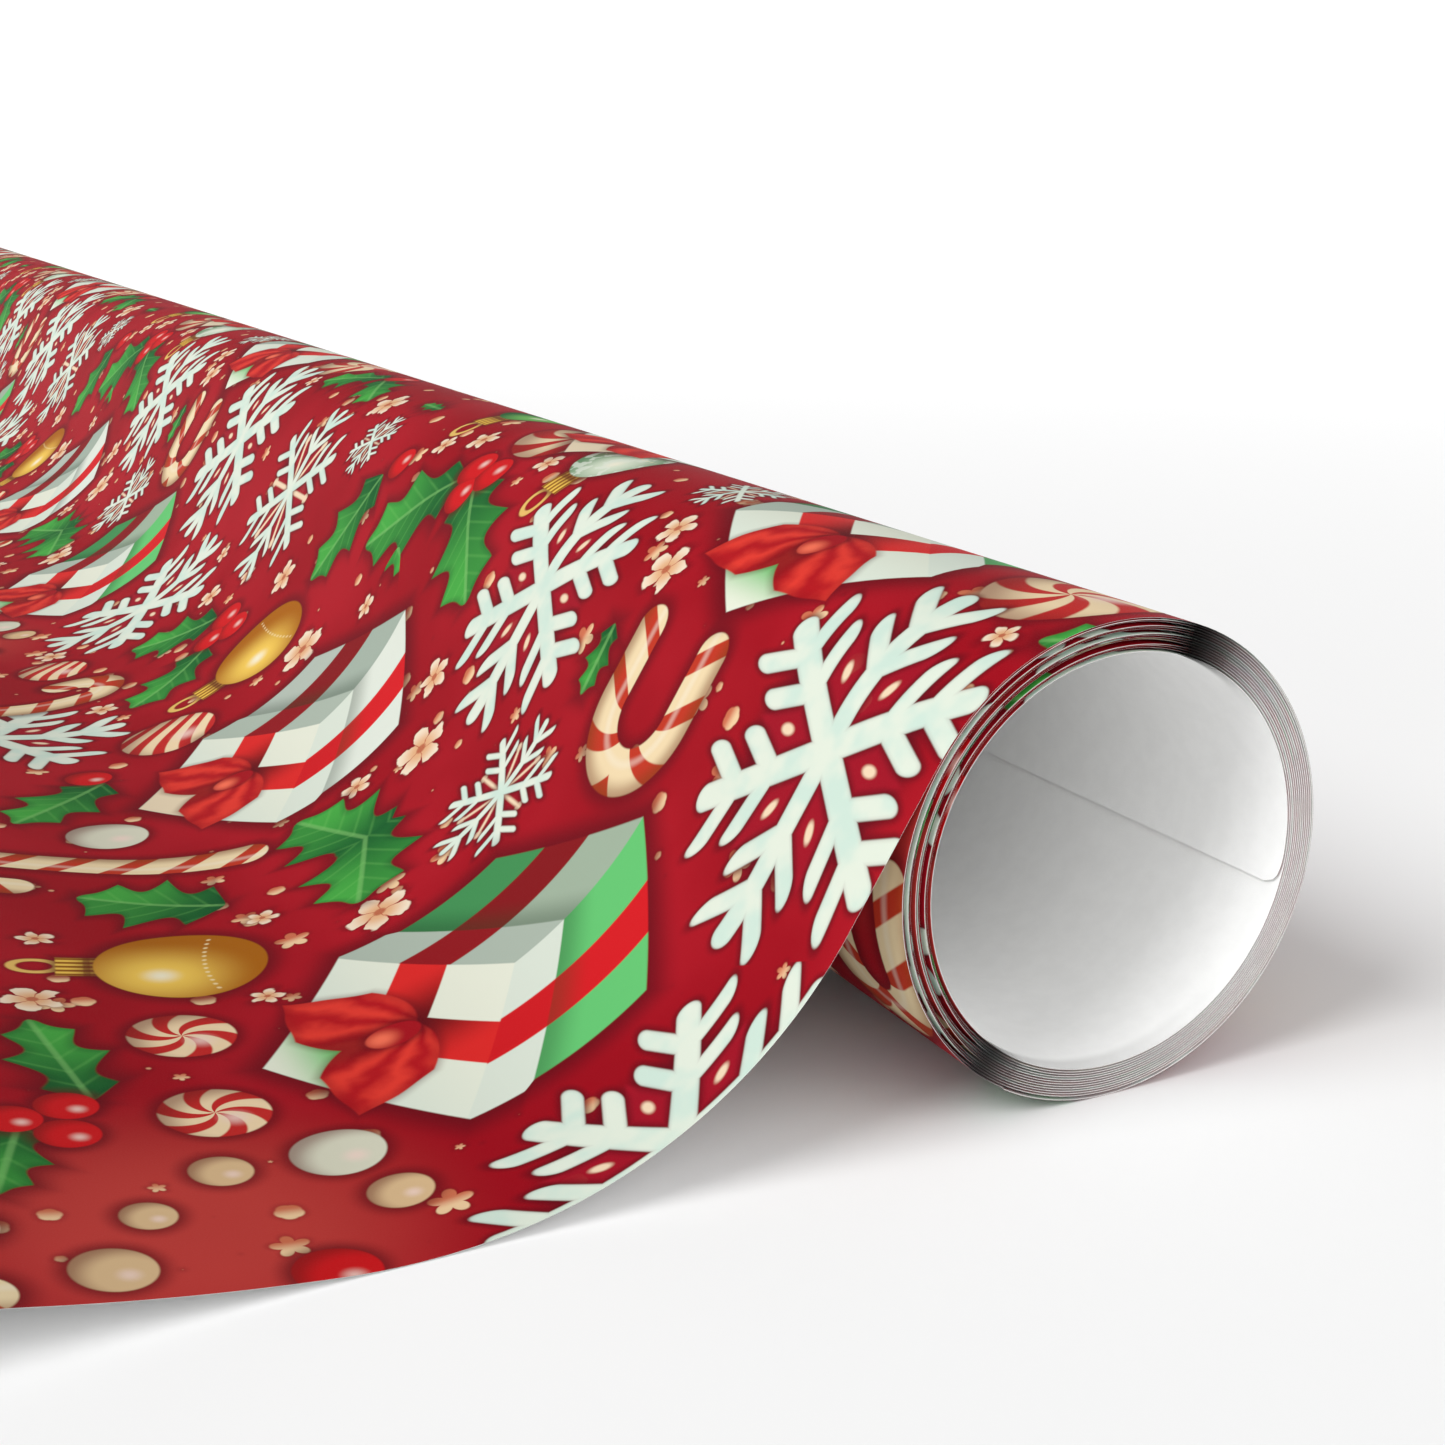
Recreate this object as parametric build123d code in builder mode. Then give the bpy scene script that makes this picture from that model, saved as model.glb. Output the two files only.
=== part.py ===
from build123d import *
import os
from math import ceil, cos, degrees, pi, radians, sin

# A coreless roll of gift wrapping paper that lies on a table with its loose end running out
# over the table. All of it is one long sheet, printed on the outside and plain on the back.
# The sheet is divided here where it bends or slides: each lap of the coil can slip along the
# next one, the coil can turn inside its outermost lap, and the loose end lifts strip by strip.
#
# Frame: X along the roll, origin on its axis at mid-length, +Z up, loose end towards -Y,
# table at Z = -outer_radius. Lengths are in millimetres and angles in degrees.

# The sheet
sheet_width = 762.0  # the roll's length
paper = 0.11  # thickness

# The roll, over the printed face of its outermost lap and over the coil's bore
outer_radius = 21.5
bore_radius = 18.55
running_gap = 0.04  # between the coil and the outermost lap around it
turns = 13  # laps in the coil, inside the outermost lap

# Angles round the roll's axis, from the side of the loose end (0) over the top (90)
seam_angle = 300.0  # where each lap passes into the next
leave_angle = 31.8  # where the loose end leaves the roll
flap_hinge_angle = 150.0  # where the innermost end can bend inwards
inner_end_angle = 195.5  # the sheet's inner edge
seam_gap = 0.05  # between the ends of two laps

# The innermost end of the sheet
end_recess = 0.5  # how far it sits back from the mouths of the roll
end_corner = 1.0  # radius of its worn corners

# The loose end: a straight fall, a sweep that flattens onto the table, a gentle rise, and a
# crest that brings the edge down to the table again. Angles are slopes, up being positive.
sweep_radius = 42.0
landing_radius = 51.6
rise_radius = 195.0
sweep_middle_slope = -32.0
landing_slope = -6.0
rise_slope = 6.0
crest_slope = 12.5
crest_middle_slope = -4.0
edge_slope = -20.2
longest_arc = 3.2  # a longer bend is drawn as several equal arcs, each a face of its own

# Worked out from the above
coil_radius = outer_radius - paper - running_gap  # over the coil's printed face
lap_gap_sum = coil_radius - paper - bore_radius
pitch = lap_gap_sum / (turns - 1)  # from one lap to the next
centre_shift = pitch / 2  # between the centres of a lap's two half circles
fall_slope = leave_angle - 90
table = -outer_radius

sweep_drop = sweep_radius * (cos(radians(landing_slope)) - cos(radians(fall_slope)))
landing_drop = landing_radius * (1 - cos(radians(landing_slope)))
whole_drop = outer_radius * sin(radians(leave_angle)) - (table + paper)
fall_length = (whole_drop - sweep_drop - landing_drop) / cos(radians(leave_angle))

# Sections are drawn in the roll's end plane, with x towards the loose end and y up.
end_plane = Plane(origin=(sheet_width / 2, 0, 0), x_dir=(0, -1, 0), z_dir=(-1, 0, 0))

os.makedirs("parts", exist_ok=True)


def polar(centre, radius, angle):
    """The point at a radius and an angle from a centre."""
    return (
        centre[0] + radius * cos(radians(angle)),
        centre[1] + radius * sin(radians(angle)),
    )


def draw_stretch(arcs):
    """The outline of a stretch of sheet, as edges. An open line builder gets them too.

    Each arc is (centre, printed radius, back radius, start angle, sweep), end to end.
    """
    edges = []
    for centre, printed, back, start, sweep in arcs:
        edges.append(CenterArc(centre, printed, start, sweep))
        edges.append(CenterArc(centre, back, start, sweep))
    centre, printed, back, start, sweep = arcs[0]
    edges.append(Line(polar(centre, printed, start), polar(centre, back, start)))
    centre, printed, back, start, sweep = arcs[-1]
    end = start + sweep
    edges.append(Line(polar(centre, printed, end), polar(centre, back, end)))
    return edges


def finish(part, name):
    """Labels a finished stretch of the sheet and writes it as its own file."""
    part.label = name
    export_step(part, f"parts/{name}.step")


# The coil. Each lap is two half circles that meet on the line through the seam: the back one
# is centred half a pitch from the axis, so that the lap ends one pitch further out.
axis = (0, 0)
back_centre = polar(axis, centre_shift, seam_angle - 180)
half_turn_angle = seam_angle - 180
coil_length = 0

for turn in range(1, turns + 1):
    radius = bore_radius + (turn - 1) * pitch  # the back face's, in the front half
    back_radius = radius - centre_shift
    start_angle = seam_angle - degrees(seam_gap / radius)
    if turn == 1:
        start_angle = flap_hinge_angle
    back_half = (
        back_centre,
        back_radius + paper,
        back_radius,
        start_angle,
        half_turn_angle - start_angle,
    )
    front_half = (axis, radius + paper, radius, half_turn_angle, -180)
    with BuildPart() as lap:
        with BuildSketch(end_plane):
            with BuildLine():
                draw_stretch([back_half, front_half])
            make_face()
        extrude(amount=sheet_width)
    finish(lap.part, f"turn_{turn:02d}")
    coil_length += radians(start_angle - half_turn_angle) * back_radius + pi * radius

# The innermost end, between its bend line and the sheet's inner edge. It sits a little inside
# both mouths, and its two corners are worn round.
flap_radius = bore_radius - centre_shift
flap_start = flap_hinge_angle + degrees(seam_gap / flap_radius)
with BuildPart() as inner_end:
    with BuildSketch(end_plane.offset(end_recess)):
        with BuildLine():
            draw_stretch(
                [
                    (
                        back_centre,
                        flap_radius + paper,
                        flap_radius,
                        flap_start,
                        inner_end_angle - flap_start,
                    )
                ]
            )
        make_face()
    extrude(amount=sheet_width - 2 * end_recess)
    free_edge = inner_end.faces().filter_by(GeomType.PLANE).sort_by(Axis.Z)[0]
    corners = [e for e in free_edge.edges() if e.length < 2 * paper]
    fillet(corners, radius=end_corner)
finish(inner_end.part, "inner_end")
coil_length += radians(inner_end_angle - flap_start) * flap_radius

# The outermost lap, which the roll stands on: from the seam under the roll, up the far side
# and over the top to where the loose end leaves.
lap_start = seam_angle - degrees(seam_gap / outer_radius)
with BuildPart() as outer_lap:
    with BuildSketch(end_plane):
        with BuildLine():
            draw_stretch(
                [(axis, outer_radius, outer_radius - paper, lap_start, leave_angle - lap_start)]
            )
        make_face()
    extrude(amount=sheet_width)
finish(outer_lap.part, "outer_lap")
lap_length = radians(lap_start - leave_angle) * outer_radius

# The loose end. Its printed face is followed from the roll outwards, one strip at a time, and
# each strip starts where the last one ended, in the same direction.
leave_point = polar(axis, outer_radius, leave_angle)
fall_end = polar(leave_point, fall_length, fall_slope)
with BuildPart() as sheet_fall:
    with BuildSketch(end_plane):
        with BuildLine():
            Polyline(
                leave_point,
                fall_end,
                polar(fall_end, paper, fall_slope - 90),
                polar(leave_point, paper, fall_slope - 90),
                close=True,
            )
        make_face()
    extrude(amount=sheet_width)
finish(sheet_fall.part, "sheet_fall")

# Where the rise ends, the crest takes over. Its radius is the one that lands the sheet's edge
# on the table at the edge's slope.
rise_top = (
    table
    + paper
    + landing_radius * (1 - cos(radians(rise_slope)))
    + rise_radius * (cos(radians(rise_slope)) - cos(radians(crest_slope)))
)
edge_height = table + paper * cos(radians(edge_slope))
crest_radius = (rise_top - edge_height) / (
    cos(radians(crest_slope)) - cos(radians(edge_slope))
)

# (name, radius, slope at the far end, +1 where it bends up or -1 where it bends down)
strips = [
    ("sheet_sweep_upper", sweep_radius, sweep_middle_slope, 1),
    ("sheet_sweep_lower", sweep_radius, landing_slope, 1),
    ("sheet_landing", landing_radius, rise_slope, 1),
    ("sheet_rise", rise_radius, crest_slope, 1),
    ("sheet_crest", crest_radius, crest_middle_slope, -1),
    ("sheet_edge", crest_radius, edge_slope, -1),
]
point = fall_end
slope = fall_slope
free_length = fall_length
print("hinge line", "sheet_fall", [round(v, 4) for v in leave_point])
for name, radius, end_slope, bend in strips:
    print("hinge line", name, [round(v, 4) for v in point])
    centre = polar(point, bend * radius, slope + 90)
    start_angle = slope - bend * 90
    sweep = end_slope - slope
    length = radius * abs(radians(sweep))
    arc_count = ceil(length / longest_arc)
    arc_sweep = sweep / arc_count
    back_radius = radius + bend * paper
    arcs = [
        (centre, radius, back_radius, start_angle + i * arc_sweep, arc_sweep)
        for i in range(arc_count)
    ]
    section = end_plane * Face(Wire(draw_stretch(arcs)))
    with BuildPart() as strip:
        extrude(section, amount=sheet_width, dir=end_plane.z_dir, clean=False)
    finish(strip.part, name)
    point = polar(centre, radius, start_angle + sweep)
    slope = end_slope
    free_length += length

print("edge of the loose end", [round(v, 4) for v in point])
print("crest radius", round(crest_radius, 3), "fall length", round(fall_length, 3))
print("lap pitch", round(pitch, 4), "loose length", round(free_length, 1))
print("sheet length", round(coil_length + lap_length + free_length, 1))
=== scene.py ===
import math

import bpy
import numpy as np
from mathutils import Matrix, Vector


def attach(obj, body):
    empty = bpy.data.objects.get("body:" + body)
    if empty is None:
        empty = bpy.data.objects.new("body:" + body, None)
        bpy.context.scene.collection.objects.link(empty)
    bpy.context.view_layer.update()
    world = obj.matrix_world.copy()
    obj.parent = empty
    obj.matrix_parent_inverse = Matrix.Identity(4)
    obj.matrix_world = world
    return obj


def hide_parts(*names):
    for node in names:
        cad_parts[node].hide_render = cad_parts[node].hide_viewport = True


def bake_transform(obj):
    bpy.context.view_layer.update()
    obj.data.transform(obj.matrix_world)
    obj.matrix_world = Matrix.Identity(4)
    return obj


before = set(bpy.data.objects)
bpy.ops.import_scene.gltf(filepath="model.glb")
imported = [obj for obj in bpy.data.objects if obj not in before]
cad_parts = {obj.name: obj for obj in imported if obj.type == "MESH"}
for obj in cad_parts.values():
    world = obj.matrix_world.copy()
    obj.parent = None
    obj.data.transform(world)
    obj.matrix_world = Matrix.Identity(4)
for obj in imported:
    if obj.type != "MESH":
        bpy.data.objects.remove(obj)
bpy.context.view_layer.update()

# One sheet of gift wrap, rolled up without a core, with its loose end drawn out over a table.
# Lengths are in millimetres and angles in degrees until the meshes are made in metres.
# Sections are worked out in the end plane: first number towards the loose end (-Y), second up.
MM = 0.001

# The sheet's measures, as in the CAD
HALF_WIDTH = 381.0
PAPER = 0.11
OUTER_RADIUS = 21.5
BORE_RADIUS = 18.55
RUNNING_GAP = 0.04
TURNS = 13
SEAM_ANGLE = 300.0
HALF_TURN_ANGLE = SEAM_ANGLE - 180
SEAM_GAP = 0.05
LEAVE_ANGLE = 31.8
FLAP_HINGE_ANGLE = 150.0
INNER_END_ANGLE = 195.5
END_RECESS = 0.5
END_CORNER = 1.0
COIL_RADIUS = OUTER_RADIUS - PAPER - RUNNING_GAP
PITCH = (COIL_RADIUS - PAPER - BORE_RADIUS) / (TURNS - 1)
CENTRE_SHIFT = PITCH / 2

# The loose end: (length or radius, slope where it starts, slope where it ends), up being
# positive. The first stretch is straight, and a negative radius bends down.
FALL_LENGTH = 15.06
BENDS = [
    (42.0, -58.2, -6.0),
    (51.6, -6.0, 6.0),
    (195.0, 6.0, 12.5),
    (-101.671, 12.5, -20.2),
]

# ---------------------------------------------------------------------------------------
# Node graphs
# ---------------------------------------------------------------------------------------


def rgb(red, green, blue):
    """A colour given in display values from 0 to 255, as the linear one that shaders use."""
    def linear(value):
        value /= 255
        return value / 12.92 if value <= 0.04045 else ((value + 0.055) / 1.055) ** 2.4

    return (linear(red), linear(green), linear(blue), 1.0)


class Term:
    """A value in a node graph, so that formulas can be written out."""

    def __init__(self, graph, socket):
        self.graph = graph
        self.socket = socket

    def __add__(self, other):
        return self.graph.math("ADD", self, other)

    __radd__ = __add__

    def __sub__(self, other):
        return self.graph.math("SUBTRACT", self, other)

    def __rsub__(self, other):
        return self.graph.math("SUBTRACT", other, self)

    def __mul__(self, other):
        return self.graph.math("MULTIPLY", self, other)

    __rmul__ = __mul__

    def __truediv__(self, other):
        return self.graph.math("DIVIDE", self, other)

    def __neg__(self):
        return self.graph.math("MULTIPLY", self, -1.0)

    def __abs__(self):
        return self.graph.math("ABSOLUTE", self)


class Graph:
    """Makes nodes in a material's tree."""

    def __init__(self, material):
        self.tree = material.node_tree

    def node(self, kind, **settings):
        made = self.tree.nodes.new(kind)
        for key, value in settings.items():
            setattr(made, key, value)
        return made

    def feed(self, socket, value):
        if isinstance(value, Term):
            self.tree.links.new(value.socket, socket)
        else:
            socket.default_value = value

    def math(self, operation, *values, clamp=False):
        made = self.node("ShaderNodeMath", operation=operation, use_clamp=clamp)
        for socket, value in zip(made.inputs, values):
            self.feed(socket, value)
        return Term(self, made.outputs[0])

    def vector(self, operation, *values):
        made = self.node("ShaderNodeVectorMath", operation=operation)
        for socket, value in zip(made.inputs, values):
            self.feed(socket, value)
        number = operation in ("LENGTH", "DOT_PRODUCT")
        return Term(self, made.outputs["Value" if number else "Vector"])

    def scaled(self, value, factor):
        made = self.node("ShaderNodeVectorMath", operation="SCALE")
        self.feed(made.inputs[0], value)
        self.feed(made.inputs["Scale"], factor)
        return Term(self, made.outputs["Vector"])

    def parts(self, value):
        made = self.node("ShaderNodeSeparateXYZ")
        self.feed(made.inputs[0], value)
        return [Term(self, socket) for socket in made.outputs]

    def joined(self, x, y, z=0.0):
        made = self.node("ShaderNodeCombineXYZ")
        for socket, value in zip(made.inputs, (x, y, z)):
            self.feed(socket, value)
        return Term(self, made.outputs[0])

    def hypot(self, x, y):
        return self.vector("LENGTH", self.joined(x, y))

    def least(self, a, b):
        return self.math("MINIMUM", a, b)

    def most(self, a, b):
        return self.math("MAXIMUM", a, b)

    def ramp(self, value, start, end, low=0.0, high=1.0):
        """Smoothly from low at start to high at end."""
        made = self.node("ShaderNodeMapRange", interpolation_type="SMOOTHSTEP")
        for socket, given in zip(made.inputs, (value, start, end, low, high)):
            self.feed(socket, given)
        return Term(self, made.outputs[0])

    def mix(self, factor, a, b, kind="RGBA"):
        made = self.node("ShaderNodeMix", data_type=kind)
        first = {"FLOAT": 2, "VECTOR": 4, "RGBA": 6}[kind]
        self.feed(made.inputs[0], factor)
        self.feed(made.inputs[first], a)
        self.feed(made.inputs[first + 1], b)
        return Term(self, made.outputs[first // 2 - 1])

    def inside(self, distance, softness=0.28):
        """1 where a distance is negative and 0 where it is positive, with a soft edge."""
        return self.ramp(distance, softness / 2, -softness / 2)

    def noise(self, position, scale, detail=2.0, roughness=0.5):
        made = self.node("ShaderNodeTexNoise", noise_dimensions="2D")
        self.feed(made.inputs["Vector"], position)
        self.feed(made.inputs["Scale"], scale)
        self.feed(made.inputs["Detail"], detail)
        self.feed(made.inputs["Roughness"], roughness)
        return Term(self, made.outputs[0])


# ---------------------------------------------------------------------------------------
# The print. It repeats every TILE along and across the sheet. Each kind of motif has a list
# of places, (x from the near end, s from where the loose end leaves the roll, radius, ...).
# ---------------------------------------------------------------------------------------
TILE = 213.0

# x, s, radius, thin arms between the bold ones
FLAKES = [
    (15.3, 3.0, 19.6, 0), (83.8, 1.7, 18.0, 0), (212.4, 36.3, 17.2, 0), (157.5, 70.0, 19.0, 0),
    (188.3, 6.3, 16.4, 1), (66.3, 23.5, 9.6, 1), (166.3, -6.3, 6.2, 1), (71.0, -22.0, 6.2, 1),
    (38.0, 128.0, 18.0, 0), (118.0, 122.0, 17.0, 1), (196.0, 134.0, 16.0, 0),
    (75.0, 150.0, 9.0, 1),
]
# x of the lid's middle, s of the far corner, colour of the box (0 green, 1 white)
GIFTS = [(37.9, 16.9, 0), (118.8, 12.5, 1), (43.4, -48.4, 0), (160.0, 96.0, 0), (112.0, 152.0, 1)]
# x, s, radius of the crook, the two legs' lengths, angle
CANES = [
    (48.1, 7.9, 7.0, 7.7, 7.7, 0.0), (7.0, 98.5, 5.0, 9.0, 9.0, 0.0),
    (97.5, 77.0, 4.6, 3.0, 28.0, -18.0), (180.6, 53.8, 4.4, 1.0, 24.0, -164.0),
    (150.0, 138.0, 5.5, 10.0, 20.0, 35.0),
]
# x, s, radius, angle, kind (0 gold, 1 mint, 2 green)
BAUBLES = [
    (65.0, 62.5, 8.6, -8.0, 0), (157.5, 28.3, 8.3, 5.0, 0), (100.0, -20.0, 6.8, -4.0, 1),
    (144.0, -27.0, 6.5, 0.0, 2), (70.0, 118.0, 8.4, 6.0, 0), (180.0, 112.0, 7.0, -10.0, 1),
    (12.0, 150.0, 8.0, 4.0, 0),
]
# x, s, radius, kind (-1 faint, 0 pearl, 1 peppermint, 2 striped ball, 3 berry)
ROUNDS = [
    (145.6, 47.0, 6.7, 2), (30.0, 67.0, 4.8, 1), (47.2, 66.2, 5.0, 1), (195.3, 55.3, 5.3, 2),
    (10.0, -23.0, 8.0, 1), (119.5, -22.0, 9.0, 1), (19.5, 59.2, 4.0, 0), (109.5, 62.0, 4.8, 0),
    (11.0, 56.5, 2.7, -1), (12.5, 76.0, 2.2, -1), (4.6, 80.0, 3.2, -1), (1.0, 64.5, 3.4, 3),
    (19.0, 69.0, 2.6, -1), (119.2, -8.8, 3.3, 3), (124.9, -8.8, 3.3, 3), (122.3, -4.2, 3.0, 3),
    (149.0, -5.0, 2.8, 3), (173.8, 29.0, 3.0, 3), (179.2, 28.5, 3.0, 3), (176.3, 33.0, 2.8, 3),
    (134.7, 60.0, 3.0, 3), (27.8, 79.5, 2.7, 3), (33.3, 78.8, 2.7, 3), (31.0, 83.6, 2.6, 3),
    (199.0, -23.0, 3.0, 3), (95.0, 108.0, 5.2, 1), (125.0, 98.0, 5.0, 2), (24.0, 108.0, 4.2, 1),
    (205.0, 96.0, 3.0, 3), (208.5, 101.0, 2.8, 3), (140.0, 160.0, 5.0, 1), (50.0, 100.0, 3.0, 3),
]
# x, s, half length, half width, angle of the tip from +x
LEAVES = [
    (111.5, 0.5, 12.0, 8.0, 142.0), (134.5, 0.5, 12.0, 8.0, 38.0), (132.0, 6.0, 6.5, 3.6, 165.0),
    (155.2, 7.0, 9.8, 6.6, 72.0), (76.2, 39.4, 9.0, 7.6, 158.0), (87.2, 39.0, 9.0, 7.6, 18.0),
    (84.0, 61.8, 8.2, 8.0, 62.0), (169.4, 41.5, 9.0, 6.0, 125.0), (188.0, 36.2, 8.6, 6.4, 50.0),
    (124.0, 65.2, 10.4, 6.0, 140.0), (43.5, 77.8, 9.4, 4.8, 8.0), (23.5, 84.8, 6.5, 3.6, 165.0),
    (193.0, -16.8, 7.6, 5.0, 150.0), (208.0, -17.6, 7.8, 5.0, 28.0), (62.5, 5.8, 4.2, 2.8, 95.0),
    (58.0, 104.0, 9.5, 6.0, 60.0), (92.0, 92.0, 9.0, 6.0, 150.0), (198.0, 106.0, 8.5, 5.6, 120.0),
    (140.0, 112.0, 9.0, 6.0, 20.0), (60.0, 165.0, 9.0, 6.0, 40.0), (165.0, -17.0, 3.6, 1.8, 0.0),
    (4.0, 118.0, 9.0, 5.6, 70.0),
]
# x, s, radius
FLOWERS = [
    (60.0, -6.0, 3.7), (90.0, 25.3, 4.4), (63.3, 41.7, 4.1), (143.7, 25.0, 4.5),
    (99.5, 17.5, 3.2), (169.7, 18.3, 3.4), (178.0, -13.8, 4.2), (66.2, -11.3, 3.0),
    (134.0, -13.8, 3.0), (141.7, -10.3, 2.4), (132.5, 15.0, 2.1), (95.0, 33.7, 2.4),
    (193.0, 27.8, 2.8), (185.4, 21.3, 2.1), (167.5, 52.5, 2.7), (205.0, 54.0, 2.9),
    (73.8, 52.0, 2.0), (58.0, 78.0, 3.4), (75.0, 75.3, 2.2), (110.0, -13.8, 2.5),
    (53.8, 56.5, 1.9), (203.0, 21.0, 1.9), (6.0, -13.0, 1.9), (127.0, 44.0, 1.8),
    (107.0, 90.0, 3.8), (80.0, 104.0, 3.2), (17.0, 128.0, 3.6), (140.0, 128.0, 3.4),
    (168.0, 120.0, 3.2), (54.0, 148.0, 3.4), (178.0, 156.0, 3.6), (92.0, 134.0, 3.2),
]

GROUND = rgb(162, 6, 26)
GROUND_LIGHT = rgb(180, 19, 36)
HALO = rgb(96, 6, 22)
INK_STRENGTH = 0.7  # the print is this much darker than the colours given for it

# A paler patch of the ground: its middle, and the radii where it starts and is full
PALE_PATCH = (10.0, 74.0, 0.0)
PALE_PATCH_OUTER = 26.0
PALE_PATCH_INNER = 6.0
PALE_PATCH_RED = rgb(222, 84, 74)

# Beads and crumbs: cells along TILE, the dice's salt, largest radius, how lobed they are
BEADS = [(25, 3.0, 1.25, 0.1), (18, 7.0, 1.9, 0.5)]

# A snowflake is drawn at this radius and scaled, and is squashed along the roll.
FLAKE_RADIUS = 19.5
FLAKE_SQUASH = 0.89
FLAKE_ARM = 18.1
BRANCH_TIP = 4.9
BRANCHES_AT = 8.2  # along the arm, the middle of a pair of branches
BRANCH_SPREAD = 2.05
GEM_AT = 8.0  # from the middle, the wine-red gem between two arms
SPOKE_START = 11.5
BUD_AT = 12.0

CANE_RADIUS = 2.6

# A wrapped box is seen from above one corner, and measured from its far corner.
LID_HALF_WIDTH = 19.8
GIFT_HEIGHT = 44.0
GIFT_MIDDLE = 22.0
GIFT_SLOPE = 0.65  # of its edges across the picture
ACROSS_EDGE = 0.84  # turns a height above such an edge into a distance from it
LID_OVERHANG = 0.9  # past the walls
LID_BOTTOM = 12.4
LID_TOP = 18.6
RIBBON_AT = 9.9
RIBBON_HALF_WIDTH = 2.85
BOW_AT = 31.8
BOW_LOOP_AT = 5.8  # to each side of the knot
BOW_LOOP_RISE = 3.0


def from_place(graph, spot, place):
    """The offset of a spot from a place, or from the nearest repeat of that place."""
    gap = graph.vector("SUBTRACT", spot, place)
    return graph.vector("WRAP", gap, (TILE / 2,) * 3, (-TILE / 2,) * 3)


def nearest(graph, spot, places):
    """The offset from the nearest of several places, in mm, and that place's numbers.

    The numbers after x and s come back in threes, as vectors.
    """
    chosen = None
    for x, s, *numbers in places:
        numbers = numbers + [0.0] * (-len(numbers) % 3)
        groups = [tuple(numbers[i:i + 3]) for i in range(0, len(numbers), 3)]
        offset = from_place(graph, spot, (x, s, 0.0))
        away = graph.vector("LENGTH", offset) - float(numbers[0])
        if chosen is None:
            chosen, best, data = offset, away, groups
            continue
        nearer = graph.math("LESS_THAN", away, best)
        chosen = graph.mix(nearer, chosen, offset, "VECTOR")
        data = [graph.mix(nearer, old, new, "VECTOR") for old, new in zip(data, groups)]
        best = graph.least(away, best)
    return chosen, data


def turned(graph, offset, angle):
    """An offset's two numbers along and across a direction, its angle being in degrees."""
    x, y, _ = graph.parts(offset)
    angle = angle * math.radians(1)
    cosine, sine = graph.math("COSINE", angle), graph.math("SINE", angle)
    return x * cosine + y * sine, y * cosine - x * sine


def laid(graph, ground, distance, colour, halo=1.9, depth=0.75):
    """A motif over the ground, with the soft dark shade round it."""
    shade = graph.ramp(distance, halo, -0.4, 0.0, depth)
    shaded = graph.mix(shade, ground, HALO)
    return graph.mix(graph.inside(distance), shaded, colour)


def add_beads(graph, ground, spot, cells, salt, largest, lumps):
    """Loose crumbs and beads, at most one to each cell of a grid.

    largest is the biggest one's radius, and lumps the share of it that its lobes make up.
    """
    size = TILE / cells
    place = graph.scaled(spot, 1 / size)
    cell = graph.vector("FLOOR", place)
    repeated = graph.vector("WRAP", cell, (float(cells),) * 3, (0.0, 0.0, 0.0))
    dice = graph.node("ShaderNodeTexWhiteNoise", noise_dimensions="3D")
    graph.feed(dice.inputs["Vector"], graph.vector("ADD", repeated, (salt, salt, salt)))
    first, second, third = graph.parts(Term(graph, dice.outputs["Color"]))
    inner = graph.vector("SUBTRACT", place, cell)
    spread = graph.joined(first * 0.6 + 0.2, second * 0.6 + 0.2)
    offset = graph.scaled(graph.vector("SUBTRACT", inner, spread), size)
    flat, tall, _ = graph.parts(offset)
    radius = graph.ramp(third, 0.2, 0.95, -0.4, largest)
    lobe = abs(graph.math("SINE", graph.math("ARCTAN2", tall, flat) * 2.5 + first * 3.0))
    distance = graph.vector("LENGTH", offset) - radius * (lobe * lumps + (1.0 - lumps))
    tone = graph.mix(graph.ramp(flat, -0.8, 0.8), rgb(250, 214, 168), rgb(214, 118, 84))
    return laid(graph, ground, distance, tone, 0.8, 0.45)


def add_flowers(graph, ground, spot):
    offset, (data,) = nearest(graph, spot, FLOWERS)
    radius, _, _ = graph.parts(data)
    x, y, _ = graph.parts(offset)
    away = graph.hypot(x, y)
    angle = graph.math("ARCTAN2", y, x) + radius * 2.0 + graph.noise(spot, 0.5) * 0.9
    petal = abs(graph.math("COSINE", angle * 2.5))
    edge = radius * (petal * 0.52 + 0.4)
    distance = (away - edge) * 0.8
    rim = graph.ramp(away / radius, 0.2, 0.9)
    tone = graph.mix(rim, rgb(236, 184, 138), rgb(252, 234, 208))
    tone = graph.mix(graph.ramp(petal, 0.3, 0.05, 0.0, 0.7), tone, rgb(190, 78, 52))
    heart = graph.ramp(away / radius, 0.22, 0.12, 0.0, 0.8)
    tone = graph.mix(heart, tone, rgb(186, 84, 56))
    return laid(graph, ground, distance, tone, 1.4, 0.6)


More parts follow.
